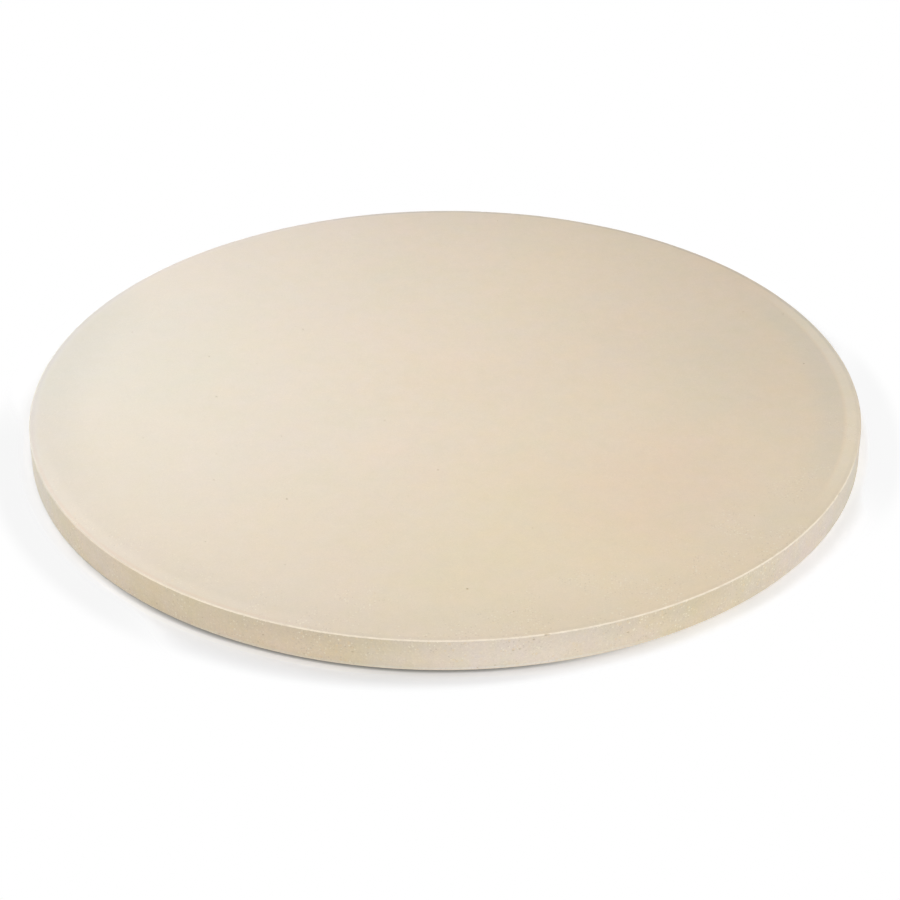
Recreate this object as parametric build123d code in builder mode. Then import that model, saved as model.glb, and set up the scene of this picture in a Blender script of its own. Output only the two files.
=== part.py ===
from build123d import *
from math import radians, sin
import os

# A round baking stone: one slab, pressed and fired in a single piece.
# Millimetres and degrees, Z up. The origin is the centre of the underside, which lies flat at Z = 0.

# Overall size
stone_diameter = 380.0
stone_thickness = 15.0

# Bevels at 45 degrees that take the sharpness off the upper and the lower edge
upper_bevel = 0.5
lower_bevel = 0.5

# Rim of the baking face: an arc leads the flat into a gentle slope, which runs out to the upper bevel
rim_width = 8.0
rim_arc_width = 3.5
rim_slope_angle = 2.0

# Radii that follow from these sizes
outer_radius = stone_diameter / 2
underside_radius = outer_radius - lower_bevel
face_radius = outer_radius - upper_bevel - rim_width
rim_arc_radius = rim_arc_width / sin(radians(rim_slope_angle))

# The slab: half of its section, turned once round the vertical axis
with BuildPart() as baking_stone:
    with BuildSketch(Plane.XZ):
        with BuildLine():
            face = Line((0, stone_thickness), (face_radius, stone_thickness))
            rim_arc = JernArc(face @ 1, face % 1, rim_arc_radius, -rim_slope_angle)
            rim_slope = PolarLine(
                rim_arc @ 1,
                rim_width - rim_arc_width,
                angle=-rim_slope_angle,
                length_mode=LengthMode.HORIZONTAL,
            )
            Polyline(
                rim_slope @ 1,
                (outer_radius, (rim_slope @ 1).Y - upper_bevel),
                (outer_radius, lower_bevel),
                (underside_radius, 0),
                (0, 0),
                face @ 0,
            )
        make_face()
    revolve(axis=Axis.Z)
baking_stone.part.label = "baking_stone"

os.makedirs("parts", exist_ok=True)
export_step(baking_stone.part, "parts/baking_stone.step")
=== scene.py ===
import math
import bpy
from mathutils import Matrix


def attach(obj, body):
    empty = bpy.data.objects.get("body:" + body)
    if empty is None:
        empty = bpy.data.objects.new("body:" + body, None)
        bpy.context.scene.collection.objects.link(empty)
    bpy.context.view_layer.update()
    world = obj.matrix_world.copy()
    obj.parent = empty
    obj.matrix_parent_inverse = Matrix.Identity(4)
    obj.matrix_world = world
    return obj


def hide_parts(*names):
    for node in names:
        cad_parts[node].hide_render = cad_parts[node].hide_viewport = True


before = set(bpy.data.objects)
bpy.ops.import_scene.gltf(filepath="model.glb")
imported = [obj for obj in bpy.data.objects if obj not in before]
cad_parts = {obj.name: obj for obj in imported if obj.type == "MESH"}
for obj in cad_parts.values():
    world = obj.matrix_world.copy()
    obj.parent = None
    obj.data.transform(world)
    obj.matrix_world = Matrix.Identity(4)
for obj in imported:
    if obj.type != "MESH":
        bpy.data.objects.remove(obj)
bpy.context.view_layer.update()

from types import SimpleNamespace

import bpy
from bpy.props import FloatProperty, FloatVectorProperty, IntProperty, PointerProperty
from mathutils import Matrix, Vector

bl_info = {
    "name": "Baking stone",
    "version": (1, 0, 0),
    "blender": (4, 5, 0),
    "location": "3D View > Sidebar > Baking stone",
    "description": (
        "Builds a round baking stone of fired cordierite, "
        "with its pores, its worn edges and its finish"),
    "category": "Object",
}

CAD_NODE = "baking_stone"
BODY = "root"

MILLIMETRE = 0.001

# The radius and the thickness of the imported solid, which the visible slab keeps
solid_corners = [vertex.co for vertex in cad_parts[CAD_NODE].data.vertices]
stone_radius = max(math.hypot(corner.x, corner.y) for corner in solid_corners)
stone_thickness = max(corner.z for corner in solid_corners)


# Settings that several properties share
LENGTH = {"min": 0.0, "precision": 5, "subtype": "DISTANCE", "unit": "LENGTH"}
SHARE = {"min": 0.0, "max": 1.0, "subtype": "FACTOR"}
COLOUR = {"min": 0.0, "max": 1.0, "subtype": "COLOR"}


class SlabSizes(bpy.types.PropertyGroup):
    """Sizes of the pressed slab"""

    diameter: FloatProperty(
        name="Diameter", description="Width of the slab over its side",
        default=2 * stone_radius, min=0.05, subtype="DISTANCE", unit="LENGTH")
    thickness: FloatProperty(
        name="Thickness", description="Height of the baking face over the underside",
        default=stone_thickness, min=0.005, subtype="DISTANCE", unit="LENGTH")
    bevel: FloatProperty(
        name="Bevel", description="Width and height of the two bevels",
        default=0.5 * MILLIMETRE, **LENGTH)
    softening: FloatProperty(
        name="Softening", description="Radius that rounds off the corners of the bevels",
        default=0.15 * MILLIMETRE, **LENGTH)
    rim_width: FloatProperty(
        name="Rim width", description="Width of the eased rim round the flat baking face",
        default=8.0 * MILLIMETRE, **LENGTH)
    rim_arc_width: FloatProperty(
        name="Rim arc", description="Width of the arc that turns the flat into the slope",
        default=3.5 * MILLIMETRE, **LENGTH)
    rim_slope: FloatProperty(
        name="Rim slope", description="Fall of the rim towards the edge",
        default=math.radians(2.0), min=0.0, subtype="ANGLE", unit="ROTATION")
    unevenness: FloatProperty(
        name="Unevenness", description="How far the pressed surface dips under its true form",
        default=0.08 * MILLIMETRE, **LENGTH)


class SlabWear(bpy.types.PropertyGroup):
    """Pores and chips in the surface"""

    pore_density: FloatProperty(
        name="Pores on the side", description="Open pores to a square metre of the side",
        default=26000.0, min=0.0)
    face_share: FloatProperty(
        name="Pores on the face",
        description="Pores on the baking face, as a share of those on the side",
        default=0.06, **SHARE)
    underside_share: FloatProperty(
        name="Pores underneath",
        description="Pores on the underside, as a share of those on the side",
        default=0.25, **SHARE)
    pore_radius: FloatProperty(
        name="Pore radius", description="Radius of the widest pores",
        default=0.55 * MILLIMETRE, **LENGTH)
    chip_density: FloatProperty(
        name="Chips", description="Chips to a square metre of the bevels", default=52000.0, min=0.0)
    chip_length: FloatProperty(
        name="Chip length", description="Half the length of the longest chips",
        default=1.7 * MILLIMETRE, **LENGTH)
    seed: IntProperty(
        name="Seed", description="Another number places the pores and chips anew", default=4, min=0)


class SlabFinish(bpy.types.PropertyGroup):
    """Colours of the fired body"""

    face_colour: FloatVectorProperty(
        name="Face", description="Colour of the baking face and the underside",
        default=(0.757, 0.652, 0.518), **COLOUR)
    side_colour: FloatVectorProperty(
        name="Side", description="Colour of the side", default=(0.762, 0.658, 0.522), **COLOUR)
    worn_colour: FloatVectorProperty(
        name="Worn edge", description="Colour of the rubbed bevels",
        default=(0.98, 0.875, 0.725), **COLOUR)
    pale_grain_colour: FloatVectorProperty(
        name="Pale grains", description="Colour of the pale grains in the body",
        default=(0.90, 0.83, 0.68), **COLOUR)
    ochre_grain_colour: FloatVectorProperty(
        name="Ochre grains", description="Colour of the ochre grains in the body",
        default=(0.82, 0.64, 0.37), **COLOUR)
    dark_grain_colour: FloatVectorProperty(
        name="Dark grains", description="Colour of the dark grains in the body",
        default=(0.40, 0.31, 0.22), **COLOUR)
    # The colour at a pore's bottom is partly dirt and partly painted shade
    pore_colour: FloatVectorProperty(
        name="Pores", description="Colour at the bottom of a pore",
        default=(0.48, 0.38, 0.27), **COLOUR)


class StageSettings(bpy.types.PropertyGroup):
    """The floor, the lamps and the camera"""

    world_light: FloatProperty(
        name="Room light", description="Even light from all round", default=0.09, min=0.0)
    lamp_level: FloatProperty(
        name="Lamp level", description="Scales all the lamps together", default=1.0, min=0.0)
    floor_colour: FloatVectorProperty(
        name="Floor", description="Colour of the floor as the slab sees it",
        default=(0.8, 0.8, 0.8), **COLOUR)
    camera_tilt: FloatProperty(
        name="Camera tilt", description="Angle at which the camera looks down",
        default=0.5594, subtype="ANGLE", unit="ROTATION")
    camera_distance: FloatProperty(
        name="Camera distance", description="Distance of the camera from the slab's foot",
        default=1.1603, min=0.1, subtype="DISTANCE", unit="LENGTH")


def placed(name, data):
    """Puts a new object in the scene"""
    made = bpy.data.objects.new(name, data)
    bpy.context.scene.collection.objects.link(made)
    return made


def rgba(colour):
    """A colour with full opacity"""
    return (*colour, 1.0)


class NodeNet:
    """Writes nodes and sums of sockets into one tree"""

    def __init__(self, tree):
        self.tree = tree

    def fill(self, socket, value):
        """Links or sets one input"""
        if isinstance(value, bpy.types.NodeSocket):
            self.tree.links.new(value, socket)
        else:
            socket.default_value = value

    def add(self, kind, inputs=None, **settings):
        """Adds one node"""
        made = self.tree.nodes.new(kind)
        for name, value in settings.items():
            setattr(made, name, value)
        for name, value in (inputs or {}).items():
            self.fill(made.inputs[name], value)
        return made

    def first(self, kind, inputs=None, **settings):
        """First output of a new node"""
        return self.add(kind, inputs, **settings).outputs[0]

    def math(self, operation, *values):
        """One sum of numbers"""
        return self.first("ShaderNodeMath", dict(enumerate(values)), operation=operation)

    def plus(self, first, second):
        """A sum"""
        return self.math("ADD", first, second)

    def minus(self, first, second):
        """A difference"""
        return self.math("SUBTRACT", first, second)

    def over(self, first, second):
        """A quotient"""
        return self.math("DIVIDE", first, second)

    def times(self, first, *others):
        """A product of numbers or masks"""
        for other in others:
            first = self.math("MULTIPLY", first, other)
        return first

    def lowest(self, first, *others):
        """The lowest of several numbers"""
        for other in others:
            first = self.math("MINIMUM", first, other)
        return first

    def vector(self, x, y, z):
        """A vector of three numbers"""
        return self.first("ShaderNodeCombineXYZ", {"X": x, "Y": y, "Z": z})

    def vectors(self, operation, *values):
        """One sum of vectors"""
        made = self.add("ShaderNodeVectorMath", dict(enumerate(values)), operation=operation)
        gives_number = operation in ("LENGTH", "DOT_PRODUCT", "DISTANCE")
        return made.outputs["Value" if gives_number else "Vector"]

    def scaled(self, vector, factor):
        """A vector or colour times a number"""
        return self.first(
            "ShaderNodeVectorMath", {"Vector": vector, "Scale": factor}, operation="SCALE")

    def step(self, value, low, high, to_low=0.0, to_high=1.0):
        """Runs smoothly from to_low to to_high as value goes from low to high"""
        return self.first("ShaderNodeMapRange", {
            "Value": value, "From Min": low, "From Max": high,
            "To Min": to_low, "To Max": to_high}, interpolation_type="SMOOTHSTEP")

    def ease(self, mask, outside, inside):
        """Runs smoothly from outside a mask to inside it"""
        return self.step(mask, 0.0, 1.0, outside, inside)

    def fading(self, value, begins, full):
        """Mask that grows from 0 to 1 as a number falls"""
        return self.step(value, full, begins, 1.0, 0.0)

    def band(self, value, begins, full, fades=None, gone=None):
        """Mask of a band, open where it has no outer border"""
        mask = self.step(value, begins, full)
        return mask if fades is None else self.times(mask, self.fading(value, gone, fades))

    def noise(self, place, width, detail=2.0, roughness=0.5):
        """Noise from 0 to 1 with patches about width wide"""
        return self.first("ShaderNodeTexNoise", {
            "Vector": place, "Scale": 1.0 / width, "Detail": detail, "Roughness": roughness},
            noise_dimensions="3D")

    def round_zero(self, value, amount):
        """Noise that swings round 0 by amount in all"""
        return self.times(self.minus(value, 0.5), amount)

    def round_one(self, value, amount):
        """Noise that swings round 1 by amount in all"""
        return self.plus(self.round_zero(value, amount), 1.0)

    def blended(self, factor, first, second):
        """A colour between two"""
        made = self.add("ShaderNodeMix", data_type="RGBA", blend_type="MIX")
        colours = [socket for socket in made.inputs if socket.type == "RGBA"]
        for socket, value in zip((made.inputs["Factor"], *colours), (factor, first, second)):
            self.fill(socket, value)
        return next(socket for socket in made.outputs if socket.type == "RGBA")

    def hued(self, colour, red, blue, level):
        """A colour times its level, and more or less red and blue"""
        return self.vectors("MULTIPLY", colour, self.scaled(self.vector(red, 1.0, blue), level))

    def toned(self, colour, mask, tone):
        """A colour times a tone, as far as the mask shows it"""
        return self.vectors("MULTIPLY", colour, self.blended(mask, rgba((1, 1, 1)), rgba(tone)))

    def parts(self, vector):
        """The three numbers of a vector"""
        return self.add("ShaderNodeSeparateXYZ", {"Vector": vector}).outputs


# The slab's form


def corner_arc(before, corner, after, radius, steps):
    """Points of the arc that rounds off a corner of the section"""
    inward = (before - corner).normalized()
    outward = (after - corner).normalized()
    half_angle = inward.angle(outward) / 2
    centre = corner + (inward + outward).normalized() * radius / math.sin(half_angle)
    start = corner + inward * radius / math.tan(half_angle)
    spoke = start - centre
    turn = math.pi - 2 * half_angle
    return [centre + Matrix.Rotation(-turn * step / steps, 2) @ spoke for step in range(steps + 1)]


def evenly(start, end, steps):
    """Points from start towards end, without the last"""
    return [start.lerp(end, step / steps) for step in range(steps)]


FACE_RINGS = 12
RIM_ARC_RINGS = 5
RIM_SLOPE_RINGS = 3
CORNER_STEPS = 5
SIDE_RINGS = 10
UNDERSIDE_RINGS = 12


def slab_section(sizes):
    """Half the section, from the middle of the face round to that of the underside"""
    radius = sizes.diameter / 2
    top = sizes.thickness
    face_edge = Vector((radius - sizes.bevel - sizes.rim_width, top))
    arc_radius = sizes.rim_arc_width / math.sin(sizes.rim_slope)
    rim_arc = [
        face_edge + arc_radius * Vector((math.sin(turn), math.cos(turn) - 1))
        for turn in (sizes.rim_slope * step / RIM_ARC_RINGS for step in range(RIM_ARC_RINGS + 1))
    ]
    slope_run = sizes.rim_width - sizes.rim_arc_width
    upper_corner = rim_arc[-1] + Vector((slope_run, -slope_run * math.tan(sizes.rim_slope)))
    side_top = upper_corner + Vector((sizes.bevel, -sizes.bevel))
    side_foot = Vector((radius, sizes.bevel))
    lower_corner = Vector((radius - sizes.bevel, 0))
    underside_middle = Vector((0, 0))

    corners = [rim_arc[-1], upper_corner, side_top, side_foot, lower_corner, underside_middle]
    arcs = [
        corner_arc(before, corner, after, sizes.softening, CORNER_STEPS)
        for before, corner, after in zip(corners, corners[1:], corners[2:])
    ]
    upper_arc, side_top_arc, side_foot_arc, lower_arc = arcs
    return (
        evenly(Vector((0, top)), face_edge, FACE_RINGS)
        + rim_arc[:-1]
        + evenly(rim_arc[-1], upper_arc[0], RIM_SLOPE_RINGS)
        + upper_arc
        + side_top_arc[:-1]
        + evenly(side_top_arc[-1], side_foot_arc[0], SIDE_RINGS)
        + side_foot_arc
        + lower_arc[:-1]
        + evenly(lower_arc[-1], underside_middle, UNDERSIDE_RINGS)
        + [underside_middle]
    )


SEGMENTS = 640
FORM_INPUTS = {
    "Section": "Geometry", "Segments": "Int", "Unevenness": "Float", "Pore density": "Float",
    "Face share": "Float", "Underside share": "Float", "Pore radius": "Float",
    "Chip density": "Float", "Chip length": "Float", "Seed": "Int", "Material": "Material",
}

# In metres, how near points are joined where the section meets itself and where a cut leaves a
# sliver; then the bend over which an edge stays sharp
JOINING_DISTANCE = 1e-6
SLIVER_WIDTH = 2e-6
CREASE_ANGLE = math.radians(14)

# Dips of the pressed surface: width in metres, the noise at which one begins and is deepest, and
# the height over the underside from which they are full
DIP_WIDTH = 1 / 28
DIP_NOISE = (0.3, 0.7)
LEVEL_FOOT = 2 * MILLIMETRE

# Lumps of a pebble: width in radii, the noise at which they are lowest and highest, their height
LUMP_WIDTH = 1 / 1.3
LUMP_NOISE = (0.25, 0.75)
LUMP_SWELLING = 0.3

# Height of a surface's unit normal: level over the first limit, on the side under the second, and
# on a bevel within the tolerance of 45 degrees
LEVEL_LIMIT = 0.99
SIDE_LIMIT = 0.2
BEVEL_TOLERANCE = 0.05

# Pores and chips: the shortest in longest ones, then breadth and depth in lengths, and the power
# that makes large ones rare
PORE_SHAPE = (0.4, (0.6, 1.0), (0.4, 0.7))
CHIP_SHAPE = (0.25, (0.35, 0.6), (0.12, 0.22))
RARITY_POWER = 3.0
PORE_SPACING = 1.6 * MILLIMETRE
FACE_PORE_SIZE = 0.6
CHIP_SEED_SHIFT = 11


def turned_surface(net, section, segments):
    """Turns the section once round the vertical axis into a closed surface"""
    rings = net.first("GeometryNodeAttributeDomainSize", {"Geometry": section})
    grid = net.first("GeometryNodeMeshGrid", {
        "Size X": 1.0, "Size Y": 1.0,
        "Vertices X": net.plus(segments, 1), "Vertices Y": rings})
    place = net.first("GeometryNodeInputPosition")
    along, across = net.parts(place)[:2]
    turn = net.times(net.plus(along, 0.5), 2 * math.pi)
    ring = net.times(net.plus(across, 0.5), net.minus(rings, 1))
    number = net.first("FunctionNodeFloatToInt", {"Float": ring}, rounding_mode="ROUND")
    on_section = net.first(
        "GeometryNodeSampleIndex", {"Geometry": section, "Value": place, "Index": number},
        data_type="FLOAT_VECTOR", domain="POINT")
    radius, unused, height = net.parts(on_section)
    turned = net.vector(
        net.times(radius, net.math("COSINE", turn)),
        net.times(radius, net.math("SINE", turn)), height)
    bent = net.first("GeometryNodeSetPosition", {"Geometry": grid, "Position": turned})
    joined = net.first("GeometryNodeMergeByDistance", {
        "Geometry": bent, "Distance": JOINING_DISTANCE})
    return net.first("GeometryNodeFlipFaces", {"Mesh": joined})


def uneven_surface(net, surface, depth):
    """Lets the pressed surface dip in broad patches; the underside stays flat"""
    place = net.first("GeometryNodeInputPosition")
    patches = net.step(net.noise(place, DIP_WIDTH), *DIP_NOISE)
    above_foot = net.step(net.parts(place)[2], 0.0, LEVEL_FOOT)
    inwards = net.times(patches, depth, above_foot, -1.0)
    offset = net.scaled(net.first("GeometryNodeInputNormal"), inwards)
    return net.first("GeometryNodeSetPosition", {"Geometry": surface, "Offset": offset})


def rough_pebble(net):
    """A lumpy pebble, which cuts a pore or a chip"""
    ball = net.first("GeometryNodeMeshIcoSphere", {"Radius": 1.0, "Subdivisions": 2})
    place = net.first("GeometryNodeInputPosition")
    lumps = net.noise(place, LUMP_WIDTH, 1.0)
    swelling = net.step(lumps, *LUMP_NOISE, -LUMP_SWELLING, LUMP_SWELLING)
    return net.first("GeometryNodeSetPosition", {
        "Geometry": ball, "Offset": net.scaled(place, swelling)})


def random_number(net, low, high, seed, shift):
    """A number of its own for each pore or chip"""
    return net.add(
        "FunctionNodeRandomValue",
        {"Min": low, "Max": high, "Seed": net.plus(seed, shift)},
        data_type="FLOAT").outputs[1]


def pebbles_at(net, points, rotation, pebble, longest, shape, seed):
    """Sets a pebble of its own length, breadth and depth at each point"""
    shortest, breadth, depth = shape
    luck = net.math("POWER", random_number(net, 0.0, 1.0, seed, 1), RARITY_POWER)
    length = net.times(longest, net.ease(luck, shortest, 1.0))
    size = net.vector(
        length,
        net.times(length, random_number(net, *breadth, seed, 2)),
        net.times(length, random_number(net, *depth, seed, 3)))
    return net.first("GeometryNodeInstanceOnPoints", {
        "Points": points, "Instance": pebble, "Rotation": rotation, "Scale": size})


def pores(net, surface, pebble, values):
    """Pebbles sunk in the face, the side and the underside"""
    facing_up = net.parts(net.first("GeometryNodeInputNormal"))[2]
    on_face = net.math("GREATER_THAN", facing_up, LEVEL_LIMIT)
    on_underside = net.math("LESS_THAN", facing_up, -LEVEL_LIMIT)
    on_side = net.math("LESS_THAN", net.math("ABSOLUTE", facing_up), SIDE_LIMIT)
    level_share = net.plus(
        net.times(on_face, values["Face share"]),
        net.times(on_underside, values["Underside share"]))
    spread = net.add("GeometryNodeDistributePointsOnFaces", {
        "Mesh": surface, "Distance Min": PORE_SPACING, "Density Max": values["Pore density"],
        "Density Factor": net.plus(on_side, level_share), "Seed": values["Seed"]},
        distribute_method="POISSON").outputs
    widest = net.times(values["Pore radius"], net.ease(on_face, 1.0, FACE_PORE_SIZE))
    return pebbles_at(
        net, spread["Points"], spread["Rotation"], pebble, widest, PORE_SHAPE, values["Seed"])


def chips(net, surface, pebble, values):
    """Longer pebbles laid along the bevels"""
    facing_up = net.parts(net.first("GeometryNodeInputNormal"))[2]
    on_bevel = net.math(
        "COMPARE", net.math("ABSOLUTE", facing_up), math.cos(math.pi / 4), BEVEL_TOLERANCE)
    seed = net.plus(values["Seed"], CHIP_SEED_SHIFT)
    spread = net.add("GeometryNodeDistributePointsOnFaces", {
        "Mesh": surface, "Selection": on_bevel, "Density": values["Chip density"], "Seed": seed},
        distribute_method="RANDOM").outputs
    x, y = net.parts(net.first("GeometryNodeInputPosition"))[:2]
    along_edge = net.vector(net.times(y, -1.0), x, 0.0)
    lying = net.first("FunctionNodeAlignRotationToVector", {
        "Rotation": spread["Rotation"], "Vector": along_edge}, axis="X", pivot_axis="Z")
    return pebbles_at(
        net, spread["Points"], lying, pebble, values["Chip length"], CHIP_SHAPE, seed)


def slab_tree():
    """Node tree that turns the section and takes the pores and chips out of it"""
    tree = bpy.data.node_groups.new("slab_form", "GeometryNodeTree")
    for name, kind in FORM_INPUTS.items():
        tree.interface.new_socket(name, in_out="INPUT", socket_type="NodeSocket" + kind)
    tree.interface.new_socket("Slab", in_out="OUTPUT", socket_type="NodeSocketGeometry")

    net = NodeNet(tree)
    values = net.add("NodeGroupInput").outputs
    turned = turned_surface(net, values["Section"], values["Segments"])
    pressed = uneven_surface(net, turned, values["Unevenness"])
    pebble = rough_pebble(net)
    cutters = net.add("GeometryNodeJoinGeometry")
    for sunk in (pores(net, pressed, pebble, values), chips(net, pressed, pebble, values)):
        tree.links.new(sunk, cutters.inputs[0])
    cut = net.first("GeometryNodeMeshBoolean", {
        "Mesh 1": pressed, "Mesh 2": cutters.outputs[0]},
        operation="DIFFERENCE", solver="MANIFOLD")
    whole = net.first("GeometryNodeRealizeInstances", {"Geometry": cut})
    welded = net.first("GeometryNodeMergeByDistance", {
        "Geometry": whole, "Distance": SLIVER_WIDTH})
    smooth = net.first("GeometryNodeSetShadeSmooth", {
        "Geometry": welded, "Shade Smooth": True}, domain="FACE")
    bend = net.add("GeometryNodeInputMeshEdgeAngle").outputs["Unsigned Angle"]
    sharp = net.math("GREATER_THAN", bend, CREASE_ANGLE)
    crisp = net.first("GeometryNodeSetShadeSmooth", {
        "Geometry": smooth, "Selection": sharp, "Shade Smooth": False}, domain="EDGE")
    coated = net.first("GeometryNodeSetMaterial", {
        "Geometry": crisp, "Material": values["Material"]})
    net.add("NodeGroupOutput", {"Slab": coated})
    return tree


def shaped_by_nodes(name, start_mesh, tree, values):
    """A plain object of what a node tree makes of a mesh"""
    rough = placed(name + "_section", start_mesh)
    modifier = rough.modifiers.new("Form", "NODES")
    modifier.node_group = tree
    for socket in tree.interface.items_tree:
        if socket.in_out == "INPUT" and socket.name in values:
            modifier[socket.identifier] = values[socket.name]
    evaluated = rough.evaluated_get(bpy.context.evaluated_depsgraph_get())
    mesh = bpy.data.meshes.new_from_object(evaluated)
    bpy.data.objects.remove(rough)
    if not mesh.polygons:
        raise RuntimeError("the node tree made no faces for " + name)
    mesh.name = name
    return placed(name, mesh)


# The fired body's finish. All lengths in it are in millimetres.

# Sectors round the slab's axis, on the slab and on the floor: their middle in degrees from +X, and
# the cosines of the angle away from it at which they begin and are full
SECTORS = {
    "right": (2, 0.82, 0.97),
    "left": (177, 0.80, 0.98),
    "back right": (60, 0.45, 0.85),
    "back left": (150, 0.3, 0.9),
    "front": (270, 0.2, 0.8),
    "front left": (222, 0.80, 0.96),
    "lighter foot": (275, 0.70, 0.95),
    "pale foot line": (265, 0.80, 0.95),
    "grainy front": (283, -0.1, 0.5),
    "grainiest front": (291, 0.60, 0.88),
    "rubbed front": (275, 0.25, 0.55),
    "rubbed front right": (300, -0.1, 0.65),
    "rubbed back": (90, 0.60, 0.80),
    "front left of the floor": (250.66, 0.7629, 0.9335),
    "front right of the floor": (325.2, 0.9313, 0.9863),
    "dark contact": (254, 0.72, 0.985),
    "wide contact": (222, 0.90, 0.985),
    "duller sheen": (277, 0.93, 0.99),
    "left haze": (205, 0.80, 0.95),
    "right haze": (358, 0.90, 0.98),
}

# Noise patterns of the body: shift, width of the patches, detail and roughness
NOISES = {
    "tooth": (0.0, 0.9, 2.0, 0.6),
    "grit": (70.0, 0.28, 2.0, 0.7),
    "waves": (0.0, 3.5, 2.0, 0.5),
    "roughness": (0.0, 6.0, 3.0, 0.5),
    "rubbing": (0.0, 4.0, 3.0, 0.6),
    "bevel fray": (0.0, 1.6, 3.0, 0.7),
    "patch fray": (0.0, 28.0, 3.0, 0.5),
    "edge breaks": (610.0, 9.0, 3.0, 0.6),
    "grain patches": (1391.0, 20.0, 3.0, 0.65),
}

# Where the masks of the slab's surfaces begin and are full
SIDE_BORDER = (0.45, 0.12)
FACE_BORDER = 1.0
UNDERSIDE_BORDER = (0.5, 0.1)
HOLLOW_BORDER = (0.10, 0.28)
UPPER_BEVEL_BORDER = (0.48, 0.18)
LOWER_BEVEL_BORDER = (0.8, 0.24)
BEVEL_FRAY = 0.5
UNDERSIDE_COARSENESS = 0.6

# Painted light on the face: slope of its tone over one radius, to the right and to the back, and
# its twist. They paint it lighter and cooler at the left, darker and warmer at the right.
FACE_RED_SLOPE = (0.045, -0.008, 0.0)
FACE_BLUE_SLOPE = (-0.077, 0.030, 0.0)
FACE_LEVEL_SLOPE = (-0.013, -0.028, 0.0)
FACE_TWIST = -0.062

# Soft patches on the face, partly its own tone and partly painted light and shade with the light's
# tint: middle and reach in radii, then factors on red, green and blue
TONE_AND_LIGHT_PATCHES = {
    "greyer at the left": (-0.75, 0.20, 0.65, (0.960, 0.995, 1.005)),
    "rosier left of the middle": (-0.40, -0.20, 0.45, (0.995, 1.003, 1.027)),
    "yellower at the front": (0.20, -0.65, 0.45, (1.000, 1.010, 0.968)),
    "paler at the back": (0.20, 0.68, 0.45, (1.027, 1.022, 1.000)),
    "ruddier at the front right": (0.50, -0.42, 0.38, (1.014, 0.974, 0.974)),
    "duller at the right": (0.85, 0.15, 0.60, (0.955, 0.975, 1.000)),
    "cooler at the lower right": (0.74, -0.48, 0.34, (0.966, 1.000, 1.032)),
}
PATCH_FRAY = 0.5

# Rings of the rim, in radii: where each begins, is full, starts to fade and is gone
RIM_RINGS = {
    "outer band": (0.956, 0.972),
    "inner ring": (0.86, 0.94, 0.955, 0.965),
    "wide band": (0.82, 0.98),
    "front band": (0.84, 0.97),
    "pale band": (0.950, 0.975),
}

# Lines next to the edge in the same way, by the distance from the side: a bluer one and a darker
# one, and the breaks in the second
BLUER_EDGE = (5.0, 1.0)
EDGE_LINE = (0.4, 1.2, 1.4, 3.0)
EDGE_BREAKS = (0.3, 0.6, 0.45, 1.1)

# Tones of these rings and lines, each in one sector or all round. The pale outer band at the right
# is a painted highlight; the darker inner ring at the right, the darker wide band at the left and
# the darker front band are painted shade; the pale band at the front left is painted light. The
# bluer line at the back left and the edge lines next to the edge only change the tone.
RIM_TONES = (
    ("outer band", "right", (1.03, 1.09, 1.15)),
    ("inner ring", "right", (0.94, 0.98, 1.02)),
    ("wide band", "left", (0.922, 0.937, 0.950)),
    ("front band", "front", (0.975, 0.975, 0.98)),
    ("pale band", "front left", (1.035, 1.035, 1.04)),
    ("bluer edge", "back left", (1.01, 1.02, 1.07)),
    ("edge line", None, (0.955, 0.955, 0.96)),
    ("edge line", "front left", (1.045, 0.995, 0.965)),
    ("edge line", "back right", (0.88, 0.91, 0.955)),
)

# Tone of the side round the slab, as a factor on its colour, by the angle from +X in degrees. It is
# partly the side's own tone and partly painted light and shade round it.
SIDE_TONES = (
    (0, (0.985, 1.00, 1.01)),
    (25, (0.99, 0.99, 0.97)),
    (155, (0.99, 0.99, 0.97)),
    (185, (0.94, 0.99, 1.06)),
    (200, (0.935, 0.99, 1.06)),
    (215, (1.00, 1.00, 0.98)),
    (235, (1.00, 0.98, 0.91)),
    (257, (0.96, 0.94, 0.87)),
    (272, (1.03, 1.05, 1.08)),
    (283, (1.03, 1.05, 1.10)),
    (291, (0.99, 0.99, 0.99)),
    (303, (0.92, 0.925, 0.87)),
    (326, (0.98, 0.99, 1.06)),
    (340, (0.950, 1.00, 1.08)),
    (360, (0.985, 1.00, 1.01)),
)
# The ramp holds no colour over 1, so the tones are divided by this in it and multiplied after it
FULL_TONE = 1.2

# By height on the side: the lighter foot with its levels, painted light that the floor throws up,
# and the pale line over the lower bevel, a painted highlight
LIGHTER_FOOT = (2.0, 13.5, 1.055, 0.965)
FOOT_LINE = (0.3, 0.8, 1.2, 2.0)
FOOT_LINE_TONE = (1.05, 1.10, 1.16)

# Clouds in the body: shift, width and detail of their noise, then how far they swing on the face
# and on the side. The face is calmer at the left.
CLOUDS = {
    "level": (
        (0.0, 55.0, 2.0, 0.036, 0.036), (90.0, 7.0, 3.0, 0.056, 0.056),
        (170.0, 2.4, 3.0, 0.036, 0.084)),
    "red": ((310.0, 16.0, 3.0, 0.068, 0.090), (520.0, 60.0, 1.0, 0.050, 0.060)),
    "blue": ((730.0, 9.0, 3.0, 0.120, 0.250), (940.0, 45.0, 1.0, 0.070, 0.120)),
}
CLOUD_ROUGHNESS = 0.6
CALM_SHARE = 0.55
CALM_END = 0.1

# Grains: shift, width of a cell, share of the cells that hold one, smallest and largest reach, and
# how much one shows on the face, next to its edge and on the side
GRAINS = {
    "ochre": (410.0, 1.6, 0.32, (0.25, 0.55), (0.05, 0.14, 0.40)),
    "pale": (0.0, 1.1, 0.42, (0.20, 0.50), (0.11, 0.50, 0.90)),
    "dark": (150.0, 1.0, 0.40, (0.20, 0.46), (0.045, 0.22, 0.34)),
}
GRAIN_FRAY = 0.7
GRAIN_FRAY_WIDTH = 0.5
GRAIN_BORDER = (1.0, 0.6)

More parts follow.
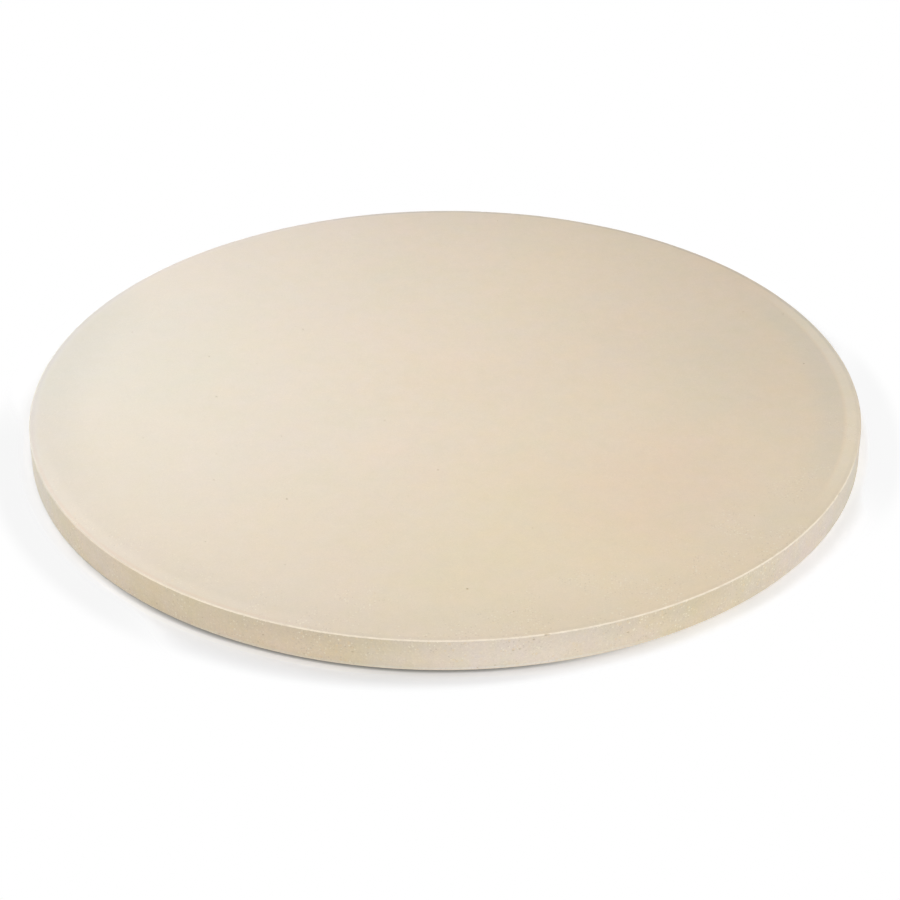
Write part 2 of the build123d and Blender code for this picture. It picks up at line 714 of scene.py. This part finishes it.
# Where grains show: in patches, evener on the side, and round the face in a narrow and a wide
# band, in radii
GRAIN_PATCHES = (0.44, 0.60, 0.10, 1.0)
SIDE_PATCHES = (0.10, 1.0, 0.30, 0.80)
NARROW_BAND = (0.955, 0.985)
WIDE_BAND_STARTS = (0.86, 0.77)
WIDE_BAND_STRENGTHS = (0.5, 0.95)
WIDE_BAND_FADE = 0.08

# Rubbing by its noise, then outside and inside a hollow; darkness of a pore in the face and in the
# coarse body, partly dirt and partly painted shade in the pore
RUBBING = (0.25, 0.55, 0.55, 1.0)
RUBBED_HOLLOW = (0.9, 0.5)
PORE_DARKNESS = (0.12, 0.45)

# Tooth and grit: how far their tones swing, the tooth's on the face and on the coarse body
TOOTH_TONE = (0.05, 0.16)
GRIT_TONE = 0.18

# Heights of the relief: tooth and grit on the face and on the coarse body, waves, and grains on the
# face, next to its edge and on the coarse body
TOOTH_HEIGHT = (0.010, 0.035)
GRIT_HEIGHT = (0.026, 0.045)
WAVE_HEIGHT = 0.02
GRAIN_HEIGHT = (0.004, 0.012)
COARSE_GRAIN_HEIGHT = 0.02

# Noise and roughness of the matt surface, and its share of mirror-like light
ROUGHNESS = (0.2, 0.8, 0.84, 0.95)
SPECULAR = 0.3


def shifted(net, place, distance):
    """The same place in another part of the noise"""
    return net.vectors("ADD", place, (distance, distance, distance))


def pattern(net, at, name):
    """One of the body's noise patterns"""
    shift, *settings = NOISES[name]
    return net.noise(shifted(net, at.place, shift), *settings)


def sector(net, at, name, outside=0.0, inside=1.0):
    """Runs from outside a sector to the inside"""
    degrees, begins, full = SECTORS[name]
    turn = math.radians(degrees)
    middle = (math.cos(turn), math.sin(turn), 0.0)
    return net.step(
        net.vectors("DOT_PRODUCT", at.direction, middle), begins, full, outside, inside)


def slab_places(net, sizes):
    """Where a point of the slab lies, with masks for its surfaces"""
    at = SimpleNamespace()
    at.radius, at.top, at.bevel, rim_width, rim_arc_width = (
        length / MILLIMETRE for length in (
            sizes.diameter / 2, sizes.thickness, sizes.bevel, sizes.rim_width,
            sizes.rim_arc_width))
    at.slope = math.tan(sizes.rim_slope)
    at.slope_start = at.radius - at.bevel - rim_width + rim_arc_width / 2
    at.edge_height = at.top - (at.radius - at.bevel - at.slope_start) * at.slope

    at.place = net.first("ShaderNodeMapping", {
        "Vector": net.add("ShaderNodeTexCoord").outputs["Object"],
        "Scale": (1 / MILLIMETRE,) * 3})
    at.x, at.y, at.height = net.parts(at.place)
    level = net.vector(at.x, at.y, 0.0)
    at.across = net.scaled(level, 1 / at.radius)
    at.direction = net.vectors("NORMALIZE", level)
    at.out = net.vectors("LENGTH", level)
    at.share = net.over(at.out, at.radius)
    at.from_side = net.minus(at.radius, at.out)

    at.hollow = net.step(hollow_depth(net, at), *HOLLOW_BORDER)
    at.on_bevel = bevel_mask(net, at)
    at.on_side = net.fading(at.from_side, *SIDE_BORDER)
    at.on_top = net.step(at.height, at.top / 2, at.top - FACE_BORDER)
    on_underside = net.fading(at.height, *UNDERSIDE_BORDER)
    at.coarse = net.math(
        "MAXIMUM", at.on_side, net.times(on_underside, UNDERSIDE_COARSENESS))
    return at


def hollow_depth(net, at):
    """Depth under the slab's true form, which is greatest in pores and chips"""
    bevel_start = at.radius - at.bevel
    past_flat = net.math("MAXIMUM", net.minus(at.out, at.slope_start), 0.0)
    under_face = net.minus(net.minus(at.top, at.height), net.times(past_flat, at.slope))
    in_upper_bevel = net.minus(bevel_start + at.edge_height, net.plus(at.out, at.height))
    in_lower_bevel = net.plus(net.minus(bevel_start, at.out), at.height)
    return net.lowest(
        under_face, at.from_side, at.height,
        net.over(in_upper_bevel, math.sqrt(2)), net.over(in_lower_bevel, math.sqrt(2)))


def bevel_mask(net, at):
    """Mask of the two bevels, frayed at its borders"""
    half = at.bevel / 2
    fray = net.round_zero(pattern(net, at, "bevel fray"), BEVEL_FRAY)

    def close_to(height, border):
        away = net.vectors("LENGTH", net.vector(
            net.minus(at.out, at.radius - half), net.minus(at.height, height), 0.0))
        return net.fading(net.plus(away, fray), *border)

    return net.math(
        "MAXIMUM", close_to(at.edge_height - half, UPPER_BEVEL_BORDER),
        close_to(half, LOWER_BEVEL_BORDER))


def face_light_and_tone(net, at, colour):
    """Painted light on the face, lighter and cooler at the left, and soft patches of tone and of
    painted light and shade
    """
    red, blue, level = (
        net.plus(net.vectors("DOT_PRODUCT", at.across, slope), 1.0)
        for slope in (FACE_RED_SLOPE, FACE_BLUE_SLOPE, FACE_LEVEL_SLOPE))
    twist = net.times(at.x, at.y, FACE_TWIST / at.radius ** 2)
    colour = net.hued(colour, red, blue, net.plus(level, twist))
    fray = net.round_zero(pattern(net, at, "patch fray"), PATCH_FRAY)
    for x, y, reach, tone in TONE_AND_LIGHT_PATCHES.values():
        away = net.vectors("DISTANCE", at.across, (x, y, 0.0))
        away = net.plus(net.over(away, reach), fray)
        colour = net.toned(colour, net.fading(away, 1.0, 0.0), tone)
    return colour


def rim_light_and_tone(net, at, colour):
    """Painted light and shade on the rim's rings, and the lines next to the edge"""
    rings = {name: net.band(at.share, *borders) for name, borders in RIM_RINGS.items()}
    rings["bluer edge"] = net.fading(at.from_side, *BLUER_EDGE)
    breaks = net.step(pattern(net, at, "edge breaks"), *EDGE_BREAKS)
    rings["edge line"] = net.times(net.band(at.from_side, *EDGE_LINE), breaks)
    for name, where, tone in RIM_TONES:
        mask = rings[name]
        if where:
            mask = net.times(mask, sector(net, at, where))
        colour = net.toned(colour, mask, tone)
    return colour


def side_tone(net, at):
    """The side's slow change of tone round the slab, partly painted light and shade, with its
    painted lighter foot and the painted highlight over the lower bevel
    """
    turn = net.over(net.math("ARCTAN2", at.y, at.x), 2 * math.pi)
    ramp = net.add(
        "ShaderNodeValToRGB", {"Fac": net.math("FRACT", net.plus(turn, 1.0))})
    stops = ramp.color_ramp.elements
    for degrees, unused in SIDE_TONES[1:-1]:
        stops.new(degrees / 360)
    for stop, (unused, tone) in zip(stops, SIDE_TONES):
        stop.color = rgba(level / FULL_TONE for level in tone)
    by_height = net.step(at.height, *LIGHTER_FOOT)
    level = net.ease(sector(net, at, "lighter foot"), 1.0, by_height)
    tone = net.scaled(ramp.outputs["Color"], net.times(level, FULL_TONE))
    line = net.times(net.band(at.height, *FOOT_LINE), sector(net, at, "pale foot line"))
    return net.toned(tone, line, FOOT_LINE_TONE)


def mottled(net, at, colour):
    """Clouds of the fired body, in level and in hue"""
    calm = net.step(at.x, -at.radius, CALM_END * at.radius, CALM_SHARE, 1.0)

    def cloud(shift, width, detail, on_face, on_side):
        swing = net.ease(at.on_side, net.times(calm, on_face), on_side)
        place = shifted(net, at.place, shift)
        return net.round_one(net.noise(place, width, detail, CLOUD_ROUGHNESS), swing)

    level, red, blue = (
        net.times(*(cloud(*settings) for settings in layers)) for layers in CLOUDS.values())
    return net.hued(colour, red, blue, level)


def grain_mask(net, place, cell, share, reach):
    """Mask of scattered, ragged grains"""
    wobble = net.add("ShaderNodeTexNoise", {
        "Vector": place, "Scale": 1.0 / GRAIN_FRAY_WIDTH, "Detail": 1.0},
        noise_dimensions="3D").outputs["Color"]
    fray = net.scaled(net.vectors("SUBTRACT", wobble, (0.5, 0.5, 0.5)), GRAIN_FRAY)
    cells = net.add("ShaderNodeTexVoronoi", {
        "Vector": net.vectors("ADD", place, fray), "Scale": 1.0 / cell, "Randomness": 1.0},
        voronoi_dimensions="3D", feature="F1")
    luck, breadth = net.parts(cells.outputs["Color"])[:2]
    chosen = net.math("LESS_THAN", luck, share)
    away = net.over(cells.outputs["Distance"], net.ease(breadth, *reach))
    return net.times(chosen, net.fading(away, *GRAIN_BORDER))


def grainy_edge(net, at):
    """Mask of the face's edge, where grains show more"""
    start = sector(net, at, "grainiest front", *WIDE_BAND_STARTS)
    strength = sector(net, at, "grainiest front", *WIDE_BAND_STRENGTHS)
    wide = net.step(net.minus(at.share, start), 0.0, WIDE_BAND_FADE, 0.0, strength)
    narrow = net.step(at.share, *NARROW_BAND)
    edge = net.math("MAXIMUM", wide, narrow)
    return net.times(edge, at.on_top, sector(net, at, "grainy front"))


def with_grains(net, at, body, masks, near_edge, finish):
    """Grains that show in the surface, most of all on the side"""
    patchy = net.step(pattern(net, at, "grain patches"), *GRAIN_PATCHES)
    patchy_side = net.step(patchy, *SIDE_PATCHES)
    for name, mask in masks.items():
        on_face, by_edge, on_side = GRAINS[name][-1]
        on_top = net.times(net.ease(near_edge, on_face, by_edge), patchy)
        on_side = net.times(patchy_side, on_side)
        shown = net.times(mask, net.ease(at.coarse, on_top, on_side))
        body = net.blended(shown, body, rgba(getattr(finish, name + "_grain_colour")))
    return body


def with_wear(net, at, body, finish):
    """Rubbed bevels, and pores darkened partly by dirt and partly by painted shade"""
    rubbing = net.step(pattern(net, at, "rubbing"), *RUBBING)
    at_front = net.times(
        sector(net, at, "rubbed front"), sector(net, at, "rubbed front right"))
    handled = net.math("MAXIMUM", at_front, sector(net, at, "rubbed back"))
    rubbed = net.times(at.on_bevel, rubbing, handled, net.ease(at.hollow, *RUBBED_HOLLOW))
    body = net.blended(rubbed, body, rgba(finish.worn_colour))
    off_bevel = net.minus(1.0, at.on_bevel)
    in_pore = net.times(at.hollow, off_bevel, net.ease(at.coarse, *PORE_DARKNESS))
    return net.blended(in_pore, body, rgba(finish.pore_colour))


def relief(net, at, tooth, grit, masks, near_edge):
    """Height of the tooth, the waves, the grains and the grit"""
    fine = net.times(tooth, net.ease(at.coarse, *TOOTH_HEIGHT))
    waves = net.times(pattern(net, at, "waves"), WAVE_HEIGHT)
    grain_height = net.ease(
        at.coarse, net.ease(near_edge, *GRAIN_HEIGHT), COARSE_GRAIN_HEIGHT)
    proud = net.times(net.math("MAXIMUM", masks["pale"], masks["dark"]), grain_height)
    finest = net.times(grit, net.ease(at.coarse, *GRIT_HEIGHT))
    return net.plus(net.plus(fine, waves), net.plus(proud, finest))


def fired_cordierite(sizes, finish):
    """Material of the fired body"""
    material = bpy.data.materials.new("fired_cordierite")
    material.use_nodes = True
    net = NodeNet(material.node_tree)
    at = slab_places(net, sizes)

    face_colour = face_light_and_tone(net, at, tuple(finish.face_colour))
    face_colour = net.blended(at.on_top, face_colour, rim_light_and_tone(net, at, face_colour))
    side_colour = net.vectors("MULTIPLY", tuple(finish.side_colour), side_tone(net, at))
    body = mottled(net, at, net.blended(at.on_side, face_colour, side_colour))
    tooth = pattern(net, at, "tooth")
    grit = pattern(net, at, "grit")
    tooth_tone = net.round_one(tooth, net.ease(at.coarse, *TOOTH_TONE))
    body = net.scaled(body, net.times(tooth_tone, net.round_one(grit, GRIT_TONE)))

    near_edge = grainy_edge(net, at)
    masks = {
        name: grain_mask(net, shifted(net, at.place, shift), cell, share, reach)
        for name, (shift, cell, share, reach, unused) in GRAINS.items()
    }
    body = with_grains(net, at, body, masks, near_edge, finish)
    body = with_wear(net, at, body, finish)
    roughness = net.step(pattern(net, at, "roughness"), *ROUGHNESS)
    height = relief(net, at, tooth, grit, masks, near_edge)
    bump = net.first("ShaderNodeBump", {"Distance": MILLIMETRE, "Height": height})

    shader = material.node_tree.nodes["Principled BSDF"].inputs
    net.fill(shader["Base Color"], body)
    net.fill(shader["Roughness"], roughness)
    net.fill(shader["Specular IOR Level"], SPECULAR)
    net.fill(shader["Normal"], bump)
    return material


class BAKING_STONE_OT_slab(bpy.types.Operator):
    """Build the slab with its pores, its chips and its finish"""

    bl_idname = "baking_stone.slab"
    bl_label = "Build the slab"

    def execute(self, context):
        scene = context.scene
        sizes, wear, finish = scene.slab_sizes, scene.slab_wear, scene.slab_finish
        outline = slab_section(sizes)
        section = bpy.data.meshes.new("slab_section")
        section.from_pydata(
            [(point.x, 0, point.y) for point in outline],
            [(number, number + 1) for number in range(len(outline) - 1)], [])
        slab = shaped_by_nodes("slab", section, slab_tree(), {
            "Segments": SEGMENTS, "Unevenness": sizes.unevenness, "Seed": wear.seed,
            "Pore density": wear.pore_density, "Face share": wear.face_share,
            "Underside share": wear.underside_share, "Pore radius": wear.pore_radius,
            "Chip density": wear.chip_density, "Chip length": wear.chip_length,
            "Material": fired_cordierite(sizes, finish)})
        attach(slab, BODY)
        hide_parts(CAD_NODE)
        return {"FINISHED"}


# The stage

# Lamps: turn from +X and rise in degrees, distance, width and height in metres, power in watts
LAMPS = {
    "high_right_lamp": (0, 65, 1.0, 0.5, 0.5, 3.73),
    "near_left_lamp": (180, 60, 0.55, 0.4, 0.4, 2.02),
    "back_left_lamp": (135, 15, 1.0, 0.5, 0.5, 2.11),
    "low_front_lamp": (270, 5, 1.0, 0.5, 0.15, 2.69),
    "low_right_lamp": (0, 5, 1.0, 0.5, 0.15, 1.80),
    "low_front_right_lamp": (315, 5, 1.0, 0.5, 0.15, 1.41),
    "low_left_lamp": (180, 5, 1.0, 0.5, 0.15, 1.31),
}
LENS_LENGTH = 100.0
SENSOR_WIDTH = 36.0
CAMERA_ROLL = -0.0035
CAMERA_ASIDE = 0.00213
CAMERA_UPWARDS = -0.01256

WHITE = (1, 1, 1, 1)
FLOOR_HALF_WIDTH = 8.0
FLOOR_TINT = (0.99, 1.0, 1.02)
# The floor near the slab glows faintly: painted light that lifts its shade
FLOOR_GLOW = 0.066

# Tones of the floor: where each begins and ends, and its level there. The first two run along X,
# in the slab's radii, the others away from its side, in millimetres. The sheen is a painted
# highlight on the floor; the tones at the front left and the front right are painted shade.
LEFT_TONE = (-1.0, -0.88, 0.81, 0.86)
RIGHT_TONE = (-0.25, 0.75, 1.0, 1.33)
SHEEN_TONE = (2.5, 6.5, 1.2, 1.0)
DULL_SHEEN_SHARE = 0.3
FRONT_LEFT_TONE = (3.0, 9.0, 1.0, 0.88)
FRONT_RIGHT_TONE = (4.0, 8.0, 0.925, 1.0)

# The paler strip at the right, which is painted light, and the dark line where the slab touches the
# floor, a painted contact shadow: its usual and its greatest width, and its level where it is
# darkest
STRIP_START = (0.3, 0.7)
STRIP = (2.0, 6.0, 9.0, 14.0)
STRIP_LEVEL = 1.11
CONTACT_WIDTHS = (2.2, 3.6)
CONTACT_LEVEL = 0.38

# The shadow's width in millimetres, what the light takes off it at the front right, the share of
# it in a haze, and the share of the width at which it starts to run out to white
SHADOW_WIDTH = 22.0
SHADOW_LOSS = 12.5
SHADOW_LOSS_TURN = math.radians(300)
SHADOW_LOSS_POWER = 3.0
HAZY_SHADOW_SHARE = 0.28
SHADOW_SHARE = 0.45

# How much the two hazes, painted shade beside the slab, take off the white floor, and where they
# run out, in millimetres
LEFT_HAZE = 0.075
RIGHT_HAZE = 0.060
HAZE_END = (15.0, 24.0, 1.0, 0.0)


def seen_directly(net):
    """1 for what is seen directly, in a mirror or through glass, 0 for light on things"""
    path = net.add("ShaderNodeLightPath").outputs
    seen = net.math("MAXIMUM", path["Is Camera Ray"], path["Is Glossy Ray"])
    return net.math("MAXIMUM", seen, path["Is Transmission Ray"])


def floor_places(net):
    """Where a point of the floor lies"""
    at = SimpleNamespace()
    place = net.add("ShaderNodeTexCoord").outputs["Object"]
    at.direction = net.vectors("NORMALIZE", place)
    at.along_x = net.over(net.parts(place)[0], stone_radius)
    beyond = net.minus(net.vectors("LENGTH", place), stone_radius)
    at.away = net.over(beyond, MILLIMETRE)
    return at


def floor_light_and_shade(net, at):
    """Painted light and shade on the floor next to the slab: a contact shadow, a sheen, a paler
    strip and darker shade
    """
    strip = net.times(net.step(at.along_x, *STRIP_START), net.band(at.away, *STRIP))
    contact = net.step(
        at.away, 0.0, sector(net, at, "wide contact", *CONTACT_WIDTHS),
        sector(net, at, "dark contact", 1.0, CONTACT_LEVEL), 1.0)
    front_left = sector(net, at, "front left of the floor")
    shiny = net.times(front_left, sector(net, at, "duller sheen", 1.0, DULL_SHEEN_SHARE))
    clear_of_haze = net.times(front_left, sector(net, at, "left haze", 1.0, 0.0))
    front_right = sector(net, at, "front right of the floor")
    return net.times(
        net.step(at.along_x, *LEFT_TONE), net.step(at.along_x, *RIGHT_TONE),
        net.ease(strip, 1.0, STRIP_LEVEL), contact,
        net.ease(shiny, 1.0, net.step(at.away, *SHEEN_TONE)),
        net.ease(clear_of_haze, 1.0, net.step(at.away, *FRONT_LEFT_TONE)),
        net.ease(front_right, 1.0, net.step(at.away, *FRONT_RIGHT_TONE)))


def shadow_width(net, at, hazy):
    """How far the floor keeps the slab's shadow, in millimetres"""
    lit_from = (math.cos(SHADOW_LOSS_TURN), math.sin(SHADOW_LOSS_TURN), 0.0)
    facing = net.math("MAXIMUM", net.vectors("DOT_PRODUCT", at.direction, lit_from), 0.0)
    loss = net.times(net.math("POWER", facing, SHADOW_LOSS_POWER), SHADOW_LOSS)
    width = net.minus(SHADOW_WIDTH, loss)
    return net.times(width, net.ease(hazy, 1.0, HAZY_SHADOW_SHARE))


def floor_material(settings):
    """Pale floor that runs out to white past the slab's shadow, with a faint painted glow and
    painted shade near the slab
    """
    material = bpy.data.materials.new("pale_floor")
    material.use_nodes = True
    material.node_tree.nodes.clear()
    net = NodeNet(material.node_tree)
    at = floor_places(net)

    colour = net.scaled(FLOOR_TINT, floor_light_and_shade(net, at))
    shaded = net.first("ShaderNodeBsdfDiffuse", {"Color": colour})
    glow = net.first("ShaderNodeEmission", {"Color": WHITE, "Strength": FLOOR_GLOW})
    near = net.first("ShaderNodeAddShader", {0: shaded, 1: glow})

    left_haze = sector(net, at, "left haze")
    right_haze = sector(net, at, "right haze")
    haze = net.plus(net.times(left_haze, LEFT_HAZE), net.times(right_haze, RIGHT_HAZE))
    haze = net.times(haze, net.step(at.away, *HAZE_END))
    white = net.first("ShaderNodeEmission", {"Color": WHITE, "Strength": net.minus(1.0, haze)})

    hazy = net.math("MAXIMUM", left_haze, right_haze)
    past_shadow = net.over(at.away, shadow_width(net, at, hazy))
    shown = net.first("ShaderNodeMixShader", {
        0: net.step(past_shadow, SHADOW_SHARE, 1.0), 1: near, 2: white})
    lit = net.first("ShaderNodeBsdfDiffuse", {"Color": rgba(settings.floor_colour)})
    whole = net.first("ShaderNodeMixShader", {0: seen_directly(net), 1: lit, 2: shown})
    net.add("ShaderNodeOutputMaterial", {"Surface": whole})
    return material


def build_floor(settings):
    """A level floor under the slab"""
    half = FLOOR_HALF_WIDTH
    mesh = bpy.data.meshes.new("floor")
    corners = [(-half, -half, 0), (half, -half, 0), (half, half, 0), (-half, half, 0)]
    mesh.from_pydata(corners, [], [(0, 1, 2, 3)])
    mesh.materials.append(floor_material(settings))
    floor = placed("floor", mesh)


def build_lamps(settings):
    """Soft lamps round the slab, all aimed at its middle"""
    for name, (turn, rise, distance, width, height, power) in LAMPS.items():
        turn, rise = math.radians(turn), math.radians(rise)
        level = math.cos(rise)
        place = distance * Vector((math.cos(turn) * level, math.sin(turn) * level, math.sin(rise)))
        facing = (-place).to_track_quat("-Z", "Y").to_matrix().to_4x4()
        light = bpy.data.lights.new(name, "AREA")
        light.shape = "RECTANGLE"
        light.size = width
        light.size_y = height
        light.energy = power * settings.lamp_level
        lamp = placed(name, light)
        lamp.matrix_world = Matrix.Translation(place) @ facing
        lamp.visible_camera = False


def build_world(settings):
    """Even room light, which shows as white"""
    world = bpy.data.worlds.new("room")
    world.use_nodes = True
    world.node_tree.nodes.clear()
    net = NodeNet(world.node_tree)
    strength = net.first("ShaderNodeMapRange", {
        "Value": seen_directly(net), "To Min": settings.world_light, "To Max": 1.0})
    light = net.first("ShaderNodeBackground", {"Color": WHITE, "Strength": strength})
    net.add("ShaderNodeOutputWorld", {"Surface": light})
    bpy.context.scene.world = world


def build_camera(settings):
    """A camera that looks down on the slab from the front"""
    tilt = settings.camera_tilt
    aside = Vector((1, 0, 0))
    forwards = Vector((0, math.cos(tilt), -math.sin(tilt)))
    upwards = Vector((0, math.sin(tilt), math.cos(tilt)))
    place = CAMERA_ASIDE * aside + CAMERA_UPWARDS * upwards - settings.camera_distance * forwards
    looking_down = Matrix.Rotation(math.pi / 2 - tilt, 4, "X")
    lens = bpy.data.cameras.new("camera")
    lens.lens = LENS_LENGTH
    lens.sensor_width = SENSOR_WIDTH
    camera = placed("camera", lens)
    camera.matrix_world = (
        Matrix.Translation(place) @ looking_down @ Matrix.Rotation(CAMERA_ROLL, 4, "Z"))
    bpy.context.scene.camera = camera


class BAKING_STONE_OT_stage(bpy.types.Operator):
    """Build the stage: the floor, the lamps, the room light and the camera"""

    bl_idname = "baking_stone.stage"
    bl_label = "Build the stage"

    def execute(self, context):
        settings = context.scene.stage_settings
        build_floor(settings)
        build_lamps(settings)
        build_world(settings)
        build_camera(settings)
        context.scene.view_settings.view_transform = "Standard"
        return {"FINISHED"}


class BAKING_STONE_PT_panel(bpy.types.Panel):
    """Lists the sizes, the colours and the steps of the build"""

    bl_label = "Baking stone"
    bl_space_type = "VIEW_3D"
    bl_region_type = "UI"
    bl_category = "Baking stone"

    def draw(self, context):
        scene = context.scene
        steps = (
            ("Slab", (scene.slab_sizes, scene.slab_wear, scene.slab_finish), "baking_stone.slab"),
            ("Stage", (scene.stage_settings,), "baking_stone.stage"),
        )
        for title, groups, operator in steps:
            box = self.layout.box()
            box.label(text=title)
            for group in groups:
                for name in group.__annotations__:
                    box.prop(group, name)
            box.operator(operator)


GROUPS = {
    "slab_sizes": SlabSizes,
    "slab_wear": SlabWear,
    "slab_finish": SlabFinish,
    "stage_settings": StageSettings,
}
CLASSES = (*GROUPS.values(), BAKING_STONE_OT_slab, BAKING_STONE_OT_stage, BAKING_STONE_PT_panel)


def register():
    for kind in CLASSES:
        bpy.utils.register_class(kind)
    for name, kind in GROUPS.items():
        setattr(bpy.types.Scene, name, PointerProperty(type=kind))


def unregister():
    for name in GROUPS:
        delattr(bpy.types.Scene, name)
    for kind in reversed(CLASSES):
        bpy.utils.unregister_class(kind)


def main():
    register()
    bpy.ops.baking_stone.slab()
    bpy.ops.baking_stone.stage()


if __name__ == "__main__":
    main()
